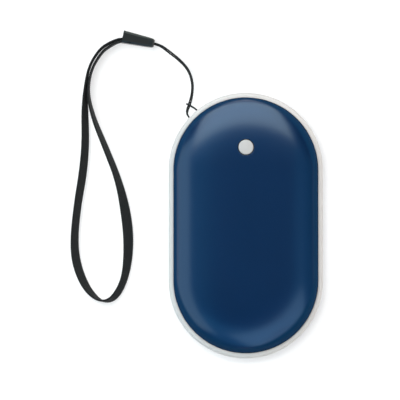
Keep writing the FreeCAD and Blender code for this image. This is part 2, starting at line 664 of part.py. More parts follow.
def make_usb_tongue():
    width, height = PORT_WIDTH - 2 * PORT_WALL - 2 * GLUE, PORT_HEIGHT - 2 * PORT_WALL - 2 * GLUE
    block_end = PORT_BACK_Y + PORT_BLOCK_LENGTH
    block = slot_along(width, height, height / 2, PORT_BACK_Y, block_end, MID_Z)
    front = PORT_MOUTH_Y - TONGUE_SETBACK
    tongue = box(spread(0, TONGUE_WIDTH), (PORT_BACK_Y, front), spread(MID_Z, TONGUE_HEIGHT))
    return joined([block, tongue])


def make_usb_contacts():
    """Contact strips on both faces of the tongue."""
    strips = []
    start = PORT_BACK_Y + PORT_BLOCK_LENGTH
    for side in (-1, 1):
        face = MID_Z + side * TONGUE_HEIGHT / 2
        heights = sorted((face, face + side * CONTACT_HEIGHT))
        for i in range(CONTACT_COUNT):
            x = (i - (CONTACT_COUNT - 1) / 2) * CONTACT_PITCH
            strips.append(box(spread(x, CONTACT_WIDTH), (start, start + CONTACT_LENGTH), heights))
    return group(strips)


# Battery

def make_battery_cell():
    cell = rounded_prism(BATTERY_WIDTH, BATTERY_LENGTH, BATTERY_CORNER_R, BATTERY_UNDER, BATTERY_TOP,
                         0, BATTERY_MID_Y)
    rims = [e for e in cell.Edges if e.BoundBox.ZLength < Part.Precision.confusion() * BATTERY_THICKNESS]
    return cell.makeFillet(BATTERY_EDGE_R, rims)


def make_battery_guard_board():
    y = (GUARD_HIGH_Y - GUARD_DEPTH, GUARD_HIGH_Y)
    return box(spread(0, GUARD_WIDTH), y, (BATTERY_UNDER, BATTERY_UNDER + GUARD_HEIGHT))


def make_battery_leads():
    """Two leads from the guard board, over the tray's wall, down to the board."""
    height = MID_Z + BATTERY_LEAD_RISE
    landing_y = BOARD_LOW_Y + LEAD_REACH
    leads = []
    for side in (-1, 1):
        x = side * BATTERY_LEAD_X
        bend, landing = V(x, landing_y, height), V(x, landing_y, BOARD_TOP)
        leads.append(tube([V(x, GUARD_HIGH_Y, height), bend, landing], LEAD_R))
    return group(leads)


def make_battery_tray():
    width, length = 2 * TRAY_HALF_WIDTH, TRAY_LENGTH
    wall_top = BATTERY_UNDER + TRAY_WALL_HEIGHT
    outside = rounded_prism(width, length, TRAY_CORNER_R, TRAY_UNDER, wall_top, 0, TRAY_MID_Y)
    inside = rounded_prism(width - 2 * TRAY_WALL, length - 2 * TRAY_WALL, TRAY_CORNER_R - TRAY_WALL,
                           BATTERY_UNDER, wall_top + OVERRUN, 0, TRAY_MID_Y)
    reach = EAR_X + BOSS_R
    root = TRAY_HALF_WIDTH - TRAY_WALL / 2
    ears, holes = [], []
    for x, y, seat in screw_places()[2:]:
        side = math.copysign(1, x)
        span = sorted((side * root, side * reach))
        ears.append(box(span, spread(y, EAR_LENGTH), (BOARD_UNDER, EAR_TOP)))
        holes.append(cylinder(SCREW_SHANK_R + SCREW_HOLE_GAP, TRAY_UNDER, wall_top, x, y))
    return joined([outside, *ears]).cut([inside, *holes])


def make_case_screws():
    """Six like screws with crossed heads."""
    screws = []
    for x, y, seat in screw_places():
        top = seat + SCREW_HEAD_HEIGHT
        shank = cylinder(SCREW_SHANK_R, seat - SCREW_LENGTH, seat, x, y)
        body = joined([shank, cylinder(SCREW_HEAD_R, seat, top, x, y)])
        depth = (top - SCREW_SLOT_DEPTH, top + OVERRUN)
        long = 2 * (SCREW_HEAD_R - SCREW_SLOT)
        cross = [box(spread(x, long), spread(y, SCREW_SLOT), depth),
                 box(spread(x, SCREW_SLOT), spread(y, long), depth)]
        screws.append(body.cut(cross))
    return group(screws)


# Cords: straight runs joined by tangent arcs

def bends(points):
    """For each inner point of a route: where its arc starts, its middle, where it ends, and its radius."""
    found = []
    for before, corner, after in zip(points, points[1:], points[2:]):
        back, on = before - corner, after - corner
        take = ARC_SHARE * min(back.Length, on.Length)
        back.normalize()
        on.normalize()
        half = (math.pi - back.getAngle(on)) / 2
        radius = take / math.tan(half)
        inward = (back + on).normalize()
        middle = corner + inward * (radius / math.cos(half) - radius)
        found.append((corner + back * take, middle, corner + on * take, radius))
    return found


def route_wire(points):
    """Path of a route, the radii of its bends, and its length."""
    edges, at = [], points[0]
    arcs = bends(points)
    for start, middle, end, radius in arcs:
        edges += [line(at, start), Part.Arc(start, middle, end).toShape()]
        at = end
    edges.append(line(at, points[-1]))
    wire = Part.Wire(edges)
    return wire, [radius for start, middle, end, radius in arcs], wire.Length


def tube(points, radius):
    wire, radii, length = route_wire(points)
    circle = Part.Wire(Part.makeCircle(radius, points[0], points[1] - points[0]))
    return wire.makePipeShell([circle], True, False)


def on_strap(x, y, z):
    """Place on the strap, which follows the eye when the body changes."""
    return V(x + STRAP_SHIFT_X, y + STRAP_SHIFT_Y, z)


def make_strap_string():
    points = [on_strap(x, y, z * STRING_LIFT_SHARE) for x, y, z in STRING_ROUTE]
    wire, radii, length = route_wire(points)
    cord = tube(points, STRING_R)
    print("string radii", [round(r, 2) for r in radii])
    share = cord.Volume / (math.pi * STRING_R**2 * length)
    print("string length", round(length, 1), "volume share", round(share, 4))
    return cord


def ribbon_section(centre, heading, lean):
    """Ribbon's rectangle across a heading, leaning outwards from upright."""
    inward = UP.cross(heading).normalize()
    upright = heading.cross(inward).normalize()
    turn = math.radians(lean)
    across = upright * math.cos(turn) - inward * math.sin(turn)
    through = inward * math.cos(turn) + upright * math.sin(turn)
    half, thick = across * (RIBBON_WIDTH / 2), through * (RIBBON_THICKNESS / 2)
    corners = [centre + half + thick, centre - half + thick, centre - half - thick, centre + half - thick]
    return Part.makePolygon(corners + corners[:1])


def make_strap_ribbon():
    """Flat band along its route, turning its lean steadily from each point of the route to the next."""
    points = [on_strap(x, y, z) for x, y, z, lean in RIBBON_ROUTE]
    leans = [lean for x, y, z, lean in RIBBON_ROUTE]
    wire, radii, length = route_wire(points)
    sections = [ribbon_section(points[0], points[1] - points[0], leans[0])]
    for i, (start, middle, end, radius) in enumerate(bends(points), 1):
        before, after = points[i] - points[i - 1], points[i + 1] - points[i]
        chord = end - start
        sections.append(ribbon_section(start, before, leans[i] + ARC_SHARE * (leans[i - 1] - leans[i])))
        sections.append(ribbon_section(middle, chord, leans[i]))
        sections.append(ribbon_section(end, after, leans[i] + ARC_SHARE * (leans[i + 1] - leans[i])))
    sections.append(ribbon_section(points[-1], points[-1] - points[-2], leans[-1]))
    band = Part.makeLoft(sections, True, True)
    print("ribbon radii", [round(r, 1) for r in radii])
    share = band.Volume / (RIBBON_WIDTH * RIBBON_THICKNESS * length)
    print("ribbon length", round(length, 1), "volume share", round(share, 4))
    return band


def bead_section(along, width, height):
    """Sleeve's section, standing on the floor: a rectangle with bevelled edges."""
    bevel_y, bevel_z = (share * width for share in BEAD_BEVEL_SHARES)
    flat = width / 2 - bevel_y
    corners = [(width / 2, bevel_z), (width / 2, height - bevel_z), (flat, height), (-flat, height),
               (-width / 2, height - bevel_z), (-width / 2, bevel_z), (-flat, 0), (flat, 0)]
    places = [V(along, y, z) for y, z in corners]
    return Part.makePolygon(places + places[:1])


def make_strap_bead():
    """Tapered sleeve that lies on its flat underside, with a slot for the ribbon and a bore for the cord."""
    stations = zip(BEAD_STATION_SHARES, BEAD_WIDTHS, BEAD_HEIGHTS)
    sections = [bead_section(share * BEAD_LENGTH, width, height) for share, width, height in stations]
    sleeve = Part.makeLoft(sections, True, True)
    wide = RIBBON_PITCH + RIBBON_THICKNESS + 2 * BEAD_SLOT_GAP
    tall = RIBBON_WIDTH + 2 * BEAD_SLOT_GAP
    slot = box((-OVERRUN, BEAD_SLOT_DEPTH), spread(-BEAD_SLOT_SHIFT, wide), spread(RIBBON_ROUTE[0][2], tall))
    bore_z = (STRING_ROUTE[0][2] + STRING_ROUTE[-1][2]) / 2 * STRING_LIFT_SHARE
    bore_start = V(BEAD_LENGTH - BEAD_BORE_DEPTH, 0, bore_z)
    bore = Part.makeCylinder(BEAD_BORE_R, BEAD_BORE_DEPTH + OVERRUN, bore_start, V(1, 0, 0))
    sleeve = sleeve.cut([slot, bore])
    sleeve.rotate(V(), UP, BEAD_ANGLE)
    sleeve.translate(on_strap(*BEAD_TAIL, 0))
    return sleeve


def main():
    parts = {
        "middle_frame": make_middle_frame(),
        "front_cover": make_front_cover(),
        "rear_cover": flipped(make_cover(REST_HALF_WIDTH)),
        "front_seal": make_seal(),
        "rear_seal": flipped(make_seal()),
        "front_heater": make_front_film(),
        "rear_heater": flipped(make_film(REST_HALF_WIDTH)),
        "front_thermistor": make_sensor(0),
        "rear_thermistor": flipped(make_sensor(REST_HALF_WIDTH)),
        "front_foam": make_foam(0, BATTERY_TOP),
        "rear_foam": flipped(make_foam(REST_HALF_WIDTH, BODY_HEIGHT - TRAY_UNDER)),
        "front_heater_leads": make_heater_leads(0, BOARD_TOP),
        "rear_heater_leads": flipped(make_heater_leads(REST_HALF_WIDTH, BODY_HEIGHT - BOARD_UNDER)),
        "power_button": make_power_button(),
        "button_guide": make_button_guide(),
        "switch_base": make_switch_base(),
        "switch_plate": make_switch_plate(),
        "switch_plunger": make_switch_plunger(),
        "switch_dome": make_switch_dome(),
        "circuit_board": make_circuit_board(),
        "controller_chip": on_board(CONTROLLER_SIZE, CONTROLLER_SHARES, CHIP_CORNER_R),
        "charger_chip": on_board(CHARGER_SIZE, CHARGER_SHARES, CHIP_CORNER_R),
        "power_inductor": on_board(COIL_SIZE, COIL_SHARES, COIL_CORNER_R),
        "board_capacitors": group([on_board(CAPACITOR_SIZE, s) for s in CAPACITOR_SHARES]),
        "board_resistors": group([on_board(RESISTOR_SIZE, s) for s in RESISTOR_SHARES]),
        "indicator_lamps": make_indicator_lamps(),
        "usb_shell": make_usb_shell(),
        "usb_tongue": make_usb_tongue(),
        "usb_contacts": make_usb_contacts(),
        "battery_cell": make_battery_cell(),
        "battery_guard_board": make_battery_guard_board(),
        "battery_leads": make_battery_leads(),
        "battery_tray": make_battery_tray(),
        "case_screws": make_case_screws(),
        "strap_string": make_strap_string(),
        "strap_bead": make_strap_bead(),
        "strap_ribbon": make_strap_ribbon(),
    }
    os.makedirs("parts", exist_ok=True)
    for name, shape in parts.items():
        if not shape.isValid():
            print("not valid:", name)
        shape.exportStep(f"parts/{name}.step")


main()
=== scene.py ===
import math

import bpy
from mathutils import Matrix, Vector


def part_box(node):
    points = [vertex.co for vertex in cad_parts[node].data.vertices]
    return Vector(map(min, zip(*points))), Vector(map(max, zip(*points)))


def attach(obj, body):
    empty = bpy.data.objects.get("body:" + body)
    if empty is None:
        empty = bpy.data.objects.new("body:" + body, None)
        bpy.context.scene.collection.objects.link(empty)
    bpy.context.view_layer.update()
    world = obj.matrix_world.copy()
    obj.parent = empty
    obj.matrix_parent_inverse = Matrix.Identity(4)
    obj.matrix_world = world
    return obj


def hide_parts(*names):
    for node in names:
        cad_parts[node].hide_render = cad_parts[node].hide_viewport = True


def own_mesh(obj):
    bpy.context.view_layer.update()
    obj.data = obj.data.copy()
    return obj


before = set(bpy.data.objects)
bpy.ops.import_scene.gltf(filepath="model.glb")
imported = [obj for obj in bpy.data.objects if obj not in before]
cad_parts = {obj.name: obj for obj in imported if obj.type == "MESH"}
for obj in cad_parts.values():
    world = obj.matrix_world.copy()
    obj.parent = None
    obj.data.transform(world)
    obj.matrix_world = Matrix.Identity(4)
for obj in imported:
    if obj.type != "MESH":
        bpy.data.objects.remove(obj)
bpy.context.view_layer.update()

# Looks of the rechargeable hand warmer, in metres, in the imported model's frame: +X to the right, +Y towards
# the button's end, +Z up from the floor that the rear cover and the strap lie on.

MM = 0.001
TURN = 2 * math.pi
UP = Vector((0, 0, 1))

MID_Z = 13.0 * MM  # middle of the pale band
COVER_HALF_WIDTH = 28.5 * MM
GAP_SHADE_DEPTH = 1.4 * MM  # of the button's pale cap, from its top; below that the button is painted near black, as painted shade in the gap round it
DOME_WALL = 0.1 * MM  # of the snap dome under the button

STRING_R = 0.325 * MM
STRING_LAY = 1.5 * MM  # length of string in which its threads turn once
RIBBON_WIDTH = 4.3 * MM
RIBBON_THICKNESS = 0.9 * MM
RIBBON_PICK = 0.8 * MM  # from one crosswise rib to the next
RIBBON_RIBS = 7  # lengthwise
RIBBON_WARPS = 35  # lengthwise threads

FLOOR_DROP = 0.05 * MM  # below what lies on it
FLOOR_WHITE = 0.46  # share of plain white in the floor that the camera sees; lamps light the rest

# The strap's routes in millimetres, as the solids have them, apart from some points that were moved by up
# to 0.6 mm to follow the photo's strands
STRING_ROUTE = [
    (-39.28, 73.94, 2.05), (-34.38, 73.16, 1.78), (-30.30, 70.28, 1.14), (-25.94, 66.77, 1.73),
    (-22.43, 62.67, 3.45), (-20.82, 57.42, 6.28), (-20.93, 52.72, 10.11), (-21.84, 48.28, 12.40),
    (-23.05, 45.55, 13.25), (-23.16, 43.75, 13.40), (-20.73, 41.16, 13.40), (-17.66, 44.02, 13.40),
    (-19.95, 46.47, 13.45), (-21.75, 47.52, 14.05), (-23.15, 48.24, 13.95), (-23.48, 48.40, 12.80),
    (-23.15, 48.24, 11.65), (-21.75, 47.52, 11.45), (-19.95, 46.47, 12.55), (-17.66, 44.02, 12.60),
    (-20.73, 41.16, 12.60), (-23.16, 43.75, 12.60), (-23.55, 45.65, 12.60), (-22.52, 48.50, 12.40),
    (-21.40, 52.80, 9.40), (-21.30, 57.43, 5.45), (-22.86, 62.47, 2.66), (-26.34, 66.39, 1.08),
    (-30.71, 69.72, 0.71), (-34.62, 72.84, 1.09), (-39.35, 73.60, 1.45),
]

# The last number is the ribbon's lean from upright, in degrees
RIBBON_ROUTE = [
    (-45.85, 74.79, 2.90, 0), (-49.40, 75.28, 2.88, 0), (-53.83, 73.60, 2.60, 4),
    (-58.05, 70.96, 2.32, 4), (-62.34, 64.20, 2.19, 2), (-63.77, 55.83, 2.27, 10),
    (-64.00, 46.30, 2.35, 37), (-63.62, 33.63, 2.50, 41), (-64.66, 21.43, 2.50, 46),
    (-66.86, 8.68, 2.50, 41), (-68.20, -4.38, 2.35, 42), (-67.50, -13.98, 1.71, 52),
    (-64.11, -23.08, 1.89, 45), (-59.49, -28.48, 2.25, 23), (-55.50, -29.78, 2.26, -10),
    (-51.47, -27.60, 2.07, -36), (-47.92, -20.56, 2.08, -35), (-46.49, -9.91, 1.51, -61),
    (-46.91, 1.95, 1.04, -76), (-50.10, 17.75, 2.60, -35), (-55.60, 31.49, 2.65, -31),
    (-60.52, 43.30, 2.50, -21), (-62.93, 53.38, 2.24, -8), (-61.52, 62.75, 2.19, -3),
    (-57.36, 69.54, 2.32, -4), (-54.27, 71.94, 2.60, -4), (-49.60, 74.28, 2.88, 0),
    (-46.05, 73.81, 2.90, 0),
]


# Materials

class Value:
    """A socket's value in a finish, so that sums on it are written as sums."""

    def __init__(self, finish, socket):
        self.finish = finish
        self.socket = socket

    def math(self, operation, first, second=0.0):
        return self.finish.add("ShaderNodeMath", {"operation": operation}, {0: first, 1: second})

    def __add__(self, other):
        return self.math("ADD", self, other)

    def __sub__(self, other):
        return self.math("SUBTRACT", self, other)

    def __rsub__(self, other):
        return self.math("SUBTRACT", other, self)

    def __mul__(self, other):
        return self.math("MULTIPLY", self, other)

    def __truediv__(self, other):
        return self.math("DIVIDE", self, other)

    def __gt__(self, other):
        return self.math("GREATER_THAN", self, other)

    def __lt__(self, other):
        return self.math("LESS_THAN", self, other)

    def __mod__(self, other):
        return self.math("FLOORED_MODULO", self, other)

    def __abs__(self):
        return self.math("ABSOLUTE", self)

    __radd__ = __add__
    __rmul__ = __mul__

    def sine(self):
        return self.math("SINE", self)

    def least(self, other):
        return self.math("MINIMUM", self, other)

    def most(self, other):
        return self.math("MAXIMUM", self, other)

    def wave(self):
        """Sine, moved to run from 0 to 1."""
        return self.sine() * 0.5 + 0.5

    def past(self, start, span):
        """0 up to start, and 1 from a span further on."""
        return ((self - start) / span).most(0.0).least(1.0)

    def stripes(self, pitch, half):
        """1 on stripes that come at that pitch and are twice half wide, else 0."""
        return abs((self % pitch) - pitch / 2) < half

    def around(self, middle, swing):
        """A pattern from 0 to 1, moved to swing by that much in all about a middle."""
        return middle + (self - 0.5) * swing


class Finish:
    """One procedural material, on the Object coordinates of what wears it."""

    def __init__(self, name):
        self.material = bpy.data.materials.new(name)
        self.material.use_nodes = True
        self.tree = self.material.node_tree
        self.shader = self.tree.nodes["Principled BSDF"]

    def add(self, kind, settings=None, sockets=None, out=0):
        """Adds a node: its settings first, then the values or links of its sockets."""
        node = self.tree.nodes.new(kind)
        for key, value in (settings or {}).items():
            setattr(node, key, value)
        for key, value in (sockets or {}).items():
            self.put(node.inputs[key], value)
        return Value(self, node.outputs[out])

    def put(self, socket, value):
        """Links a value to a socket, or sets the socket to a plain number or colour."""
        if isinstance(value, Value):
            self.tree.links.new(value.socket, socket)
        else:
            socket.default_value = value

    def place(self):
        """Where a point of the surface is, in the shared frame."""
        return self.add("ShaderNodeTexCoord", out="Object")

    def along(self):
        """The piece's own UV map: round or across it, and along it."""
        return self.add("ShaderNodeTexCoord", out="UV")

    def parts(self, vector):
        """The three numbers of a vector or colour."""
        split = self.add("ShaderNodeSeparateXYZ", sockets={0: vector}).socket.node
        return [Value(self, out) for out in split.outputs]

    def noise(self, size, detail, stretch=(1, 1, 1)):
        """Cloudy pattern, from 0 to 1, with blobs of about that size."""
        at = self.place()
        if stretch != (1, 1, 1):
            at = self.add("ShaderNodeVectorMath", {"operation": "DIVIDE"}, {0: at, 1: stretch})
        return self.add("ShaderNodeTexNoise", sockets={"Vector": at, "Scale": 1 / size, "Detail": detail})

    def cells(self, size, out="Distance"):
        """Pattern of cells of about that size: the distance from their middles, or a colour for each."""
        return self.add("ShaderNodeTexVoronoi", sockets={"Vector": self.place(), "Scale": 1 / size}, out=out)

    def mix(self, mask, low, high):
        """Colour between two, by a mask from 0 to 1."""
        low, high = ((*one, 1) if isinstance(one, tuple) else one for one in (low, high))
        return self.add("ShaderNodeMix", {"data_type": "RGBA", "clamp_factor": True},
                        {0: mask, 6: low, 7: high}, 2)

    def bump(self, height, depth):
        """Normal of a surface that rises by that depth where height goes from 0 to 1."""
        return self.add("ShaderNodeBump", sockets={"Distance": depth, "Height": height})

    def wear(self, node):
        """Puts the finish on a CAD node or a new piece."""
        if node.data.materials:
            node.data.materials[0] = self.material
        else:
            node.data.materials.append(self.material)

    def set(self, **sockets):
        """Sets the shader's sockets, by their names in small letters."""
        names = {key.lower().replace(" ", "_"): key for key in self.shader.inputs.keys()}
        for key, value in sockets.items():
            if isinstance(value, tuple) and len(value) == 3:
                value = (*value, 1)
            self.put(self.shader.inputs[names[key]], value)
        return self


def plastic(name, colour, shade, roughness, grain, depth):
    """Moulded plastic: two near shades in soft clouds, and the mould's fine grain, in millimetres."""
    finish = Finish(name)
    clouds = finish.noise(9 * MM, 3)
    fine = finish.noise(grain * MM, 2)
    return finish.set(
        base_color=finish.mix(clouds, colour, shade),
        roughness=fine.around(roughness, 0.12),
        normal=finish.bump(fine, depth * MM),
    )


def navy_lacquer():
    """Navy lacquer on a pressed metal shell: a fine metallic ground under a clear coat. On the skirt, near
    the band, the ground is plain and the coat fades out, which paints a dark edge round the cover in place of
    the floor's bright reflection there: painted shade."""
    finish = Finish("navy_lacquer")
    flakes = finish.parts(finish.cells(0.12 * MM, out="Color"))[0]
    clouds = finish.noise(14 * MM, 2)
    peel = finish.noise(1.3 * MM, 1)
    x, y, z = finish.parts(finish.place())
    north = ((y - 28 * MM) / (22 * MM)).most(0.0)
    east = x / COVER_HALF_WIDTH
    corner = (abs(x) + abs(y)).past(49 * MM, 9 * MM)
    # The skirt's height from the band's middle, up to which the edge is painted dark: less at the button's
    # end, more to the right and on the
    #     # arcs, set by where the lamps' reflections fall
    skirt = 8.3 * MM - north * (0.85 * MM) + east * (0.3 * MM) + corner * (0.9 * MM)
    fade = 0.8 * MM  # the height in which the coat comes in
    crown = abs(z - MID_Z).past(skirt, fade)
    ground = finish.mix(flakes * 0.7 + clouds * 0.3, (0.0006, 0.0290, 0.1020), (0.0010, 0.0334, 0.1170))
    # On the skirt: plain, unmetallic ground and almost no coat, a painted dark edge in place of the floor's
    # reflection
    return finish.set(
        base_color=finish.mix(crown, (0.0045, 0.0365, 0.098), ground),
        metallic=crown * 0.66,
        roughness=clouds.around(0.40, 0.06),
        specular_ior_level=0.0,
        coat_weight=crown * 0.95 + 0.05,
        coat_roughness=0.235,
        coat_ior=1.70,
        normal=finish.bump(peel, 0.0012 * MM),
    )


def pale_moulding():
    """Pale satin plastic of the band, with the fine seam of its mould at mid height."""
    finish = Finish("pale_moulding")
    z = finish.parts(finish.place())[2]
    clouds = finish.noise(11 * MM, 3)
    grain = finish.noise(0.16 * MM, 2)
    seam = abs(z - MID_Z) < 0.05 * MM
    speck = finish.noise(0.5 * MM, 1) > 0.78
    colour = finish.mix(clouds, (0.705, 0.685, 0.669), (0.733, 0.711, 0.695))
    colour = finish.mix((seam * 0.35).most(speck * 0.05), colour, (0.50, 0.50, 0.48))
    return finish.set(
        base_color=colour,
        roughness=grain.around(0.42, 0.14),
        normal=finish.bump(grain - seam * 0.8, 0.006 * MM),
    )


def button_with_painted_gap_shade():
    """Pale cap; below it the button is painted near black, so that only a ring of painted shade shows round
    it in the cover's hole.
    """
    finish = Finish("button_with_painted_gap_shade")
    z = finish.parts(finish.place())[2]
    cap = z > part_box("power_button")[1].z - GAP_SHADE_DEPTH
    clouds = finish.noise(4 * MM, 3)
    grain = finish.noise(0.2 * MM, 2)
    pale = finish.mix(clouds, (0.545, 0.540, 0.537), (0.570, 0.565, 0.562))
    return finish.set(
        # Near black below the cap: painted shade of the gap between the button and the cover
        base_color=finish.mix(cap, (0.020, 0.020, 0.021), pale),
        roughness=grain.around(0.22, 0.12),
        normal=finish.bump(grain, 0.003 * MM),
    )


def ribbon_weave():
    """Charcoal polyester weave: ribs and warp lines along the ribbon and fine picks across it."""
    finish = Finish("ribbon_weave")
    across, along = finish.parts(finish.along())[:2]
    threads = across * (RIBBON_WARPS * TURN)
    ribs = (across * (RIBBON_RIBS * TURN) + TURN / 4).wave()
    warp = threads.wave()
    picks = (along * (2 * TURN) + threads.sine()).wave()
    fuzz = finish.noise(0.25 * MM, 3)
    thread = ribs * 0.40 + warp * 0.20 + picks * 0.20 + fuzz * 0.30
    return finish.set(
        base_color=finish.mix(thread, (0.003, 0.0032, 0.0033), (0.027, 0.0275, 0.028)),
        roughness=fuzz.around(0.72, 0.2),
        specular_ior_level=0.15,
        sheen_weight=0.03,
        normal=finish.bump(warp * 0.4 + picks * 0.4 + fuzz * 0.3, 0.03 * MM),
    )


def string_braid():
    """Black cord of fine braided threads."""
    finish = Finish("string_braid")
    round_it, along = finish.parts(finish.along())[:2]
    threads = 3  # that wind each way
    left = (along * TURN + round_it * (threads * TURN)).sine()
    right = (along * TURN - round_it * (threads * TURN)).sine()
    braid = left.most(right) * 0.5 + 0.5
    fuzz = finish.noise(0.1 * MM, 2)
    return finish.set(
        base_color=finish.mix(braid * 0.7 + fuzz * 0.3, (0.008, 0.008, 0.0085), (0.022, 0.0225, 0.023)),
        roughness=fuzz.around(0.62, 0.2),
        specular_ior_level=0.2,
        sheen_weight=0.02,
        normal=finish.bump(braid, 0.03 * MM),
    )


def brushed_metal(name, colour, shade, roughness, stretch):
    """Bare metal with fine lines, drawn out by that stretch along each axis."""
    finish = Finish(name)
    lines = finish.noise(0.12 * MM, 3, stretch)
    clouds = finish.noise(3 * MM, 2)
    return finish.set(
        base_color=finish.mix(lines * 0.6 + clouds * 0.4, colour, shade),
        metallic=1.0,
        roughness=lines.around(roughness, 0.18),
        normal=finish.bump(lines, 0.004 * MM),
    )


def heating_film():
    """Amber film with a copper track that runs to and fro under it."""
    finish = Finish("heating_film")
    x, y = finish.parts(finish.place())[:2]
    track_end = 15.5 * MM
    track = y.stripes(2.4 * MM, 0.55 * MM) * (abs(x) < track_end)
    ripple = finish.noise(4 * MM, 3)
    amber = finish.mix(ripple, (0.42, 0.155, 0.022), (0.50, 0.20, 0.035))
    return finish.set(
        base_color=finish.mix(track, amber, (0.30, 0.115, 0.045)),
        metallic=track * 0.6,
        roughness=ripple.around(0.32, 0.12),
        normal=finish.bump(track * 0.6 + ripple * 0.4, 0.05 * MM),
    )


def pad_foam():
    """Grey closed-cell foam."""
    finish = Finish("pad_foam")
    pores = finish.cells(0.7 * MM)
    clouds = finish.noise(5 * MM, 2)
    return finish.set(
        base_color=finish.mix(pores * 0.8 + clouds * 0.3, (0.09, 0.09, 0.095), (0.17, 0.17, 0.175)),
        roughness=clouds.around(0.86, 0.1),
        normal=finish.bump(pores, 0.2 * MM),
    )


def lead_pair(name, low, high):
    """Soft insulation, in one colour on each side of the body's middle."""
    finish = Finish(name)
    x = finish.parts(finish.place())[0]
    scuff = finish.noise(0.8 * MM, 3)
    colour = finish.mix(x > 0, low, high)
    return finish.set(
        base_color=finish.mix(scuff * 0.35, colour, (0.16, 0.15, 0.15)),
        roughness=scuff.around(0.45, 0.2),
        normal=finish.bump(scuff, 0.02 * MM),
    )


def cell_foil():
    """Silvery laminate of the cell, a little creased."""
    finish = Finish("cell_foil")
    creases = finish.noise(6 * MM, 4)
    fine = finish.cells(1.6 * MM)
    return finish.set(
        base_color=finish.mix(creases, (0.40, 0.42, 0.45), (0.56, 0.58, 0.61)),
        metallic=0.8,
        roughness=fine.around(0.36, 0.12),
        normal=finish.bump(creases * 0.8 + fine * 0.2, 0.12 * MM),
    )


def solder_mask():
    """Green mask over copper tracks that run both ways, with some bare pads."""
    finish = Finish("solder_mask")
    x, y = finish.parts(finish.place())[:2]
    pitch, half = 1.2 * MM, 0.22 * MM  # of the tracks
    blocks = finish.parts(finish.cells(5 * MM, out="Color"))[0]
    rows, columns = y.stripes(pitch, half), x.stripes(pitch, half)
    tracks = rows * (blocks > 0.55) + columns * (blocks < 0.35)
    pads = (finish.cells(2.2 * MM) < 0.12) * (blocks > 0.3)
    weave = finish.noise(0.5 * MM, 2)
    green = finish.mix(tracks, (0.010, 0.075, 0.030), (0.020, 0.125, 0.050))
    return finish.set(
        base_color=finish.mix(pads, green, (0.62, 0.46, 0.20)),
        metallic=pads * 0.9,
        roughness=weave.around(0.34, 0.15),
        normal=finish.bump(tracks * 0.8 + weave * 0.2, 0.03 * MM),
    )


def tinned_block(name, body, middles, half):
    """Small ceramic component, bare up to half from any of those middles along Y, in millimetres, and tinned
    beyond."""
    finish = Finish(name)
    y = finish.parts(finish.place())[1]
    reach = abs(y - middles[0] * MM)
    for middle in middles[1:]:
        reach = reach.least(abs(y - middle * MM))
    caps = reach > half * MM
    fine = finish.noise(0.2 * MM, 2)
    shade = tuple(0.8 * c for c in body)
    return finish.set(
        base_color=finish.mix(caps, finish.mix(fine, shade, body), (0.62, 0.62, 0.60)),
        metallic=caps * 0.95,
        roughness=fine.around(0.45 - caps * 0.12, 0.15),
        normal=finish.bump(fine, 0.01 * MM),
    )


def chip_resin():
    """Blasted black resin over a row of tinned legs at the board."""
    finish = Finish("chip_resin")
    y, z = finish.parts(finish.place())[1:]
    leg_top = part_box("controller_chip")[0].z + 0.35 * MM
    legs = (z < leg_top) * y.stripes(1.0 * MM, 0.2 * MM)
    blast = finish.noise(0.08 * MM, 3)
    resin = finish.mix(blast, (0.012, 0.012, 0.013), (0.026, 0.026, 0.027))
    return finish.set(
        base_color=finish.mix(legs, resin, (0.6, 0.6, 0.58)),
        metallic=legs * 0.95,
        roughness=blast.around(0.62 - legs * 0.3, 0.15),
        normal=finish.bump(blast, 0.01 * MM),
    )


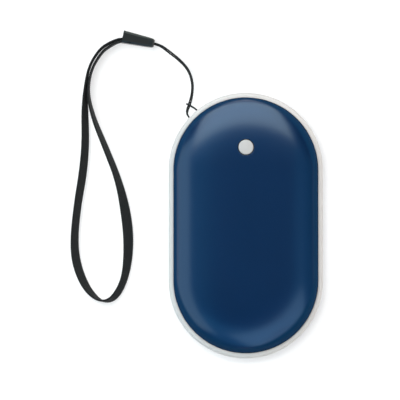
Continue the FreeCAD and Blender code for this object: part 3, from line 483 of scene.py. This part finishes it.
def dress_cad_nodes():
    """Gives the CAD nodes in its table their finishes."""
    # Name, two shades, roughness, and the size and depth of the grain
    dark = plastic("dark_moulding", (0.020, 0.020, 0.021), (0.030, 0.030, 0.031), 0.5, 0.15, 0.012)
    sleeve = plastic("sleeve_moulding", (0.0125, 0.0138, 0.0134), (0.0168, 0.0182, 0.0177), 0.34, 0.22, 0.014)
    guide = plastic("guide_moulding", (0.52, 0.53, 0.52), (0.58, 0.58, 0.57), 0.5, 0.2, 0.01)
    rubber = plastic("seal_rubber", (0.018, 0.018, 0.019), (0.030, 0.029, 0.029), 0.8, 0.3, 0.02)
    resin = plastic("sensor_resin", (0.015, 0.014, 0.013), (0.035, 0.030, 0.026), 0.28, 0.4, 0.03)
    lamp = plastic("lamp_resin", (0.78, 0.70, 0.30), (0.86, 0.82, 0.55), 0.25, 0.3, 0.01)
    ferrite = plastic("coil_ferrite", (0.050, 0.049, 0.048), (0.085, 0.082, 0.080), 0.66, 0.12, 0.03)
    red_resin = plastic("plunger_resin", (0.30, 0.020, 0.016), (0.38, 0.030, 0.022), 0.4, 0.15, 0.01)

    # Name, two shades, roughness, and how far the lines are drawn out along X, Y and Z
    steel = brushed_metal("port_steel", (0.50, 0.50, 0.51), (0.66, 0.66, 0.67), 0.30, (1, 14, 1))
    plate = brushed_metal("switch_steel", (0.52, 0.52, 0.52), (0.68, 0.68, 0.67), 0.34, (10, 1, 1))
    zinc = brushed_metal("screw_zinc", (0.48, 0.49, 0.51), (0.63, 0.64, 0.66), 0.38, (1, 1, 6))
    gold = brushed_metal("contact_gold", (0.72, 0.50, 0.18), (0.86, 0.62, 0.26), 0.26, (1, 10, 1))

    # Name, colour between the caps, middles along Y, and where the caps begin
    ceramic = tinned_block("capacitor_ceramic", (0.42, 0.27, 0.14), (25.0, 41.0), 0.65)
    film_block = tinned_block("resistor_film", (0.022, 0.022, 0.024), (26.92, 33.0, 41.0), 0.5)

    # Name, and the colours of the left and the right lead
    white_leads = lead_pair("heater_lead_skin", (0.62, 0.62, 0.60), (0.62, 0.62, 0.60))
    cell_leads = lead_pair("cell_lead_skin", (0.016, 0.016, 0.017), (0.46, 0.022, 0.018))

    worn = {
        navy_lacquer(): ["front_cover", "rear_cover"],
        pale_moulding(): ["middle_frame"],
        button_with_painted_gap_shade(): ["power_button"],
        guide: ["button_guide"],
        rubber: ["front_seal", "rear_seal"],
        heating_film(): ["front_heater", "rear_heater"],
        pad_foam(): ["front_foam", "rear_foam"],
        resin: ["front_thermistor", "rear_thermistor"],
        white_leads: ["front_heater_leads", "rear_heater_leads"],
        cell_leads: ["battery_leads"],
        cell_foil(): ["battery_cell"],
        dark: ["battery_tray", "usb_tongue", "switch_base"],
        solder_mask(): ["circuit_board", "battery_guard_board"],
        chip_resin(): ["controller_chip", "charger_chip"],
        ferrite: ["power_inductor"],
        ceramic: ["board_capacitors"],
        film_block: ["board_resistors"],
        lamp: ["indicator_lamps"],
        steel: ["usb_shell"],
        gold: ["usb_contacts"],
        plate: ["switch_plate", "switch_dome"],
        red_resin: ["switch_plunger"],
        zinc: ["case_screws"],
        sleeve: ["strap_bead"],
    }
    for finish, nodes in worn.items():
        for node in nodes:
            finish.wear(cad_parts[node])


# Switch

def make_snap_dome():
    """Snap dome of the switch, a thin piece of a ball that flattens under the plunger."""
    low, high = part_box("switch_dome")
    rise, radius = high.z - low.z, (high.x - low.x) / 2
    ball = (radius ** 2 + rise ** 2) / (2 * rise)
    top = Vector(((low.x + high.x) / 2, (low.y + high.y) / 2, high.z))
    foot = top - UP * (rise - DOME_WALL * (ball - rise) / ball)
    bpy.ops.object.select_all(action="DESELECT")
    bpy.ops.mesh.primitive_uv_sphere_add(segments=64, ring_count=96, radius=ball, location=top - UP * ball)
    piece = bpy.context.object
    piece.name = piece.data.name = "switch_snap_dome"
    bpy.ops.object.transform_apply(location=True, rotation=True, scale=True)
    bpy.ops.object.mode_set(mode="EDIT")
    bpy.ops.mesh.select_all(action="SELECT")
    bpy.ops.mesh.bisect(plane_co=foot, plane_no=UP, clear_inner=True)
    bpy.ops.object.mode_set(mode="OBJECT")
    bpy.ops.object.modifier_add(type="SOLIDIFY")
    piece.modifiers[0].thickness = DOME_WALL
    piece.modifiers[0].offset = -1
    bpy.ops.object.modifier_apply(modifier=piece.modifiers[0].name)
    bpy.ops.object.shade_smooth()
    brushed_metal("dome_steel", (0.52, 0.52, 0.52), (0.68, 0.68, 0.67), 0.30, (1, 1, 1)).wear(piece)
    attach(piece, "housing")
    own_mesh(piece)
    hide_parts("switch_dome")


# Strap

def smooth_line(points, steps):
    """Places along the smooth line that a route's points steer, with that many steps from point to point."""
    data = bpy.data.curves.new("route", "CURVE")
    data.dimensions = "3D"
    data.resolution_u = steps
    spline = data.splines.new("NURBS")
    spline.points.add(len(points) - 1)
    for point, place in zip(spline.points, points):
        point.co = (*place, 1)
    spline.order_u = 3
    spline.use_endpoint_u = True
    holder = bpy.data.objects.new("route", data)
    mesh = bpy.data.meshes.new_from_object(holder)
    line = [vertex.co.copy() for vertex in mesh.vertices]
    bpy.data.meshes.remove(mesh)
    bpy.data.objects.remove(holder)
    bpy.data.curves.remove(data)
    return line


def headings(line):
    """Unit direction at each place of a line."""
    ends = zip([line[0], *line], [*line[1:], line[-1]])
    return [(after - before).normalized() for before, after in ends]


def distances(line):
    """How far along the line each of its places is."""
    gone = [0.0]
    for before, after in zip(line, line[1:]):
        gone.append(gone[-1] + (after - before).length)
    return gone


def skin(name, rings, round_it, lengthwise):
    """Mesh over rings of places, capped at both ends, with a UV map round each ring and along the line. A
    ring's first place comes again at the end of round_it."""
    count = len(rings[0])
    vertices = [place for ring in rings for place in ring]
    faces, uvs = [], []
    for i in range(len(rings) - 1):
        for j in range(count):
            k = (j + 1) % count
            faces.append((i * count + j, i * count + k, (i + 1) * count + k, (i + 1) * count + j))
            low, high = round_it[j], round_it[j + 1]
            uvs += [(low, lengthwise[i]), (high, lengthwise[i]),
                    (high, lengthwise[i + 1]), (low, lengthwise[i + 1])]
    last = (len(rings) - 1) * count
    faces += [tuple(reversed(range(count))), tuple(range(last, last + count))]
    uvs += [(0.0, lengthwise[0])] * count + [(0.0, lengthwise[-1])] * count
    mesh = bpy.data.meshes.new(name)
    mesh.from_pydata(vertices, [], faces)
    layer = mesh.uv_layers.new(name="strap")
    layer.data.foreach_set("uv", [number for uv in uvs for number in uv])
    mesh.shade_smooth()
    piece = bpy.data.objects.new(name, mesh)
    bpy.context.scene.collection.objects.link(piece)
    return piece


def make_string():
    """Thin braided cord, from the sleeve to the eye and back."""
    sides, steps = 14, 24
    lobes, lobe_depth = 3, 0.05
    line = smooth_line([Vector(p) * MM for p in STRING_ROUTE], steps)
    gone = distances(line)
    side = None
    rings = []
    for place, heading, far in zip(line, headings(line), gone):
        side = heading.orthogonal() if side is None else side - heading * side.dot(heading)
        side.normalize()
        other = heading.cross(side)
        ring = []
        for j in range(sides):
            turn = TURN * j / sides
            swell = math.cos(lobes * turn + TURN * far / STRING_LAY)
            reach = STRING_R * (1 - lobe_depth + lobe_depth * swell)
            ring.append(place + side * (reach * math.cos(turn)) + other * (reach * math.sin(turn)))
        rings.append(ring)
    round_it = [j / sides for j in range(sides + 1)]
    piece = skin("strap_string_cord", rings, round_it, [g / STRING_LAY for g in gone])
    string_braid().wear(piece)
    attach(piece, "housing")
    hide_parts("strap_string")
    return piece


def ribbon_outline(count):
    """Section of the ribbon: flat faces and round edges, as shares of its half width and half thickness."""
    edge_power, face_power = 0.55, 0.5  # 1 gives an ellipse, and less a squarer section
    outline = []
    for j in range(count):
        c, s = math.cos(TURN * j / count), math.sin(TURN * j / count)
        outline.append((math.copysign(abs(c) ** edge_power, c), math.copysign(abs(s) ** face_power, s)))
    return outline


def make_ribbon():
    """Flat woven band, round the loop, with its lean turning along the way."""
    sides, steps = 32, 90
    rib_depth, warp_depth = 0.04, 0.035
    line = smooth_line([Vector(p[:3]) * MM for p in RIBBON_ROUTE], steps)
    leans = [math.radians(place.x) for place in smooth_line([(p[3], 0, 0) for p in RIBBON_ROUTE], steps)]
    gone = distances(line)
    outline = ribbon_outline(sides)
    rings = []
    for place, heading, lean, far in zip(line, headings(line), leans, gone):
        inward = UP.cross(heading).normalized()
        upright = heading.cross(inward).normalized()
        across = upright * math.cos(lean) - inward * math.sin(lean)
        through = inward * math.cos(lean) + upright * math.sin(lean)
        rib = 1 - rib_depth + rib_depth * math.cos(TURN * far / RIBBON_PICK)
        ring = []
        for a, t in outline:
            warp = 1 + warp_depth * math.cos(RIBBON_RIBS * math.pi * a)
            ring.append(place + across * (a * (rib * 0.5 + 0.5) * RIBBON_WIDTH / 2)
                        + through * (t * rib * warp * RIBBON_THICKNESS / 2))
        rings.append(ring)
    round_it = [a / 2 for a, t in [*outline, outline[0]]]
    piece = skin("strap_ribbon_band", rings, round_it, [g / RIBBON_PICK for g in gone])
    ribbon_weave().wear(piece)
    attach(piece, "housing")
    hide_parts("strap_ribbon")
    return piece


# Studio

def make_floor():
    """White floor that keeps the object's shadow. Gloss and clear pieces see it as plain white."""
    bpy.ops.object.select_all(action="DESELECT")
    bpy.ops.mesh.primitive_plane_add(size=6, location=(0, 0, -FLOOR_DROP))
    floor = bpy.context.object
    floor.name = "floor"
    finish = Finish("floor_white")
    path = finish.add("ShaderNodeLightPath").socket.node
    camera, glossy, through = (Value(finish, path.outputs[ray]) for ray in
                               ("Is Camera Ray", "Is Glossy Ray", "Is Transmission Ray"))
    seen = (camera * FLOOR_WHITE).most(glossy).most(through)
    finish.set(base_color=(0.97, 0.97, 0.97), roughness=0.9, specular_ior_level=0.0)
    glow = finish.add("ShaderNodeEmission", sockets={"Color": (1, 1, 1, 1), "Strength": 1.0})
    shown = finish.add("ShaderNodeMixShader", sockets={0: seen, 2: glow})
    finish.tree.links.new(finish.shader.outputs[0], shown.socket.node.inputs[1])
    finish.tree.links.new(shown.socket, finish.tree.nodes["Material Output"].inputs["Surface"])
    finish.wear(floor)
    return floor


def make_softbox(name, radiance, azimuth, elevation, width, height, distance=1.0, tint=(1, 1, 1),
                 reflected=True, lit=True):
    """Soft lamp that faces the object from a direction, in degrees. One that isn't reflected only lights, and
    one that isn't lit is a card that only gloss mirrors."""
    data = bpy.data.lights.new(name, "AREA")
    data.shape = "RECTANGLE"
    data.size = width
    data.size_y = height
    data.energy = radiance * math.pi * width * height
    data.color = tint
    lamp = bpy.data.objects.new(name, data)
    turn, rise = math.radians(azimuth), math.radians(elevation)
    away = Vector((math.cos(rise) * math.cos(turn), math.cos(rise) * math.sin(turn), math.sin(rise)))
    lamp.location = away * distance + UP * MID_Z
    lamp.rotation_euler = away.to_track_quat("Z", "Y").to_euler()
    lamp.visible_camera = False
    lamp.visible_glossy = reflected
    lamp.visible_diffuse = lit
    bpy.context.scene.collection.objects.link(lamp)
    return lamp


def gather(name, objects):
    """Group of objects that a lamp lights, leaves out or is shaded by."""
    group = bpy.data.collections.new(name)
    for one in objects:
        group.objects.link(one)
    return group


def make_light(floor, strap):
    """Lamps for the object, two lamps for the floor alone, and the cards that the lacquer mirrors."""
    world = bpy.data.worlds.new("studio")
    world.use_nodes = True
    world.node_tree.nodes["Background"].inputs["Color"].default_value = (0.02, 0.02, 0.02, 1)
    bpy.context.scene.world = world

    # The object's key lamp
    all_but_floor = gather("all_but_floor", [floor])
    all_but_floor.collection_objects[0].light_linking.link_state = "EXCLUDE"
    key_light = make_softbox("key_light", 3.3, azimuth=130, elevation=60, width=0.9, height=0.9,
                             reflected=False)
    key_light.light_linking.receiver_collection = all_but_floor

    # The floor's lamps: a high one that every piece shades, and a slanting one that only the strap shades
    top_light = make_softbox("top_light", 63.0, azimuth=145, elevation=86.5, width=0.16, height=0.16,
                             reflected=False)
    top_light.light_linking.receiver_collection = gather("top_lit_floor", [floor])
    floor_light = make_softbox("floor_light", 5.6, azimuth=148, elevation=52, width=0.7, height=0.7,
                               reflected=False)
    floor_light.light_linking.receiver_collection = gather("lit_floor", [floor])
    floor_light.light_linking.blocker_collection = gather("strap_shades", strap)

    # What the lacquer mirrors, of which only the west one gives light too
    make_softbox("north_card", 1.80, azimuth=95, elevation=36.5, width=1.25, height=1.2, distance=0.95,
                 tint=(0.94, 1.13, 1.08), lit=False)
    make_softbox("west_softbox", 0.76, azimuth=190, elevation=30, width=1.4, height=1.0,
                 tint=(0.77, 1.23, 1.40))
    make_softbox("south_east_card", 0.72, azimuth=-56, elevation=40, width=1.1, height=1.05,
                 tint=(0.66, 1.02, 1.22), lit=False)
    make_softbox("east_card", 0.22, azimuth=-14, elevation=40, width=1.0, height=1.1,
                 tint=(0.05, 0.70, 1.25), lit=False)
    make_softbox("south_card", 0.50, azimuth=-98, elevation=42, width=0.9, height=1.0,
                 tint=(0.10, 0.56, 0.98), lit=False)
    make_softbox("high_west_card", 0.30, azimuth=168, elevation=68, width=1.2, height=0.4,
                 tint=(0.06, 0.50, 0.80), lit=False)

    # The object's fill lamp, opposite the key lamp
    warm_fill = make_softbox("warm_fill", 1.6, azimuth=-10, elevation=46, width=1.6, height=1.6, distance=1.2,
                             tint=(1.0, 0.965, 0.925), reflected=False)
    warm_fill.light_linking.receiver_collection = all_but_floor

    bpy.context.scene.view_settings.view_transform = "Standard"


def make_camera():
    """Camera almost straight above, a little towards the lower end."""
    tilt, distance, field = math.radians(3), 2.5, 158.4 * MM  # the field's width, at the target
    target = Vector((-18.12, 10.21, 13.0)) * MM
    data = bpy.data.cameras.new("camera")
    data.sensor_width = 36
    data.lens = data.sensor_width * distance / field
    data.clip_end = 20
    camera = bpy.data.objects.new("camera", data)
    camera.rotation_euler = (tilt, 0, 0)
    camera.location = target + camera.rotation_euler.to_matrix() @ Vector((0, 0, distance))
    bpy.context.scene.collection.objects.link(camera)
    bpy.context.scene.camera = camera


dress_cad_nodes()
make_snap_dome()
strap = [make_string(), make_ribbon(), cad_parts["strap_bead"]]
make_light(make_floor(), strap)
make_camera()
